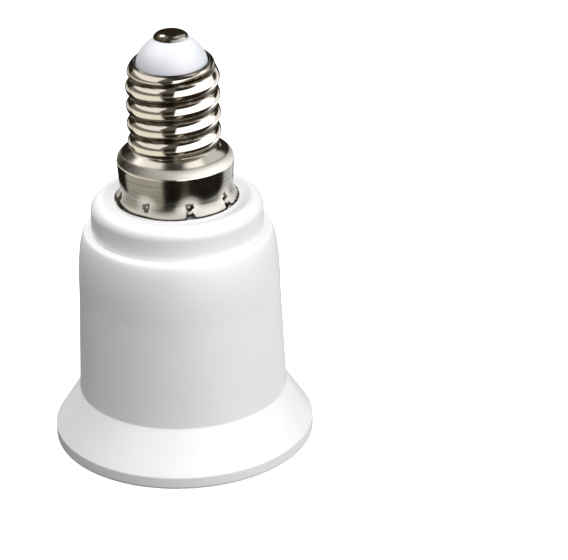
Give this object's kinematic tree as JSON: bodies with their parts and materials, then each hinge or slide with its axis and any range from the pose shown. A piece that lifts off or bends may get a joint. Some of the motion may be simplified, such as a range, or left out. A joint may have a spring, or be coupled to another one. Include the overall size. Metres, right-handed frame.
{
  "type": "lamp socket adapter",
  "caption": "White bell-shaped adapter that screws into a small Edison lampholder by its nickel cap and takes a larger Edison lamp in the brass socket inside its mouth.",
  "frame": {"origin": "centre of the plane that the mouth's rim stands on", "axes": "+Z along the adapter's axis from the mouth to the cap's contact, +X towards the socket's riveted foot"},
  "size_m": [0.0394, 0.0394, 0.0643],
  "materials": {
    "white_plastic": "satin moulded",
    "inner_plastic": "plain moulded",
    "socket_brass": "bright rolled sheet",
    "spring_brass": "bright strip",
    "rivet_nickel": "nickel plated",
    "copper_wire": "bare copper",
    "lead_sleeve": "soft insulation",
    "cap_nickel": "nickel plated, bright",
    "cap_insulation": "satin",
    "contact_nickel": "nickel plated, bright"
  },
  "bodies": {
    "adapter": {"housing": "white_plastic", "carrier_plate": "inner_plastic", "socket_shell": "socket_brass", "shell_rivet": "rivet_nickel", "contact_rivet": "rivet_nickel", "shell_lead_wire": "copper_wire", "shell_lead_sleeve": "lead_sleeve", "tip_lead_wire": "copper_wire", "tip_lead_sleeve": "lead_sleeve", "cap_shell": "cap_nickel", "cap_insulator": "cap_insulation", "cap_contact": "contact_nickel"},
    "contact_leaf": {"centre_contact": "spring_brass"}
  },
  "joints": [
    {"name": "leaf_flex", "type": "hinge", "parent": "adapter", "child": "contact_leaf", "pos_m": [-0.0064, 0, 0.02987], "axis": [0, -1, 0], "range_deg": [0, 9], "stiffness_Nm_per_rad": 0.13, "deforming": ["centre_contact"]}
  ]
}
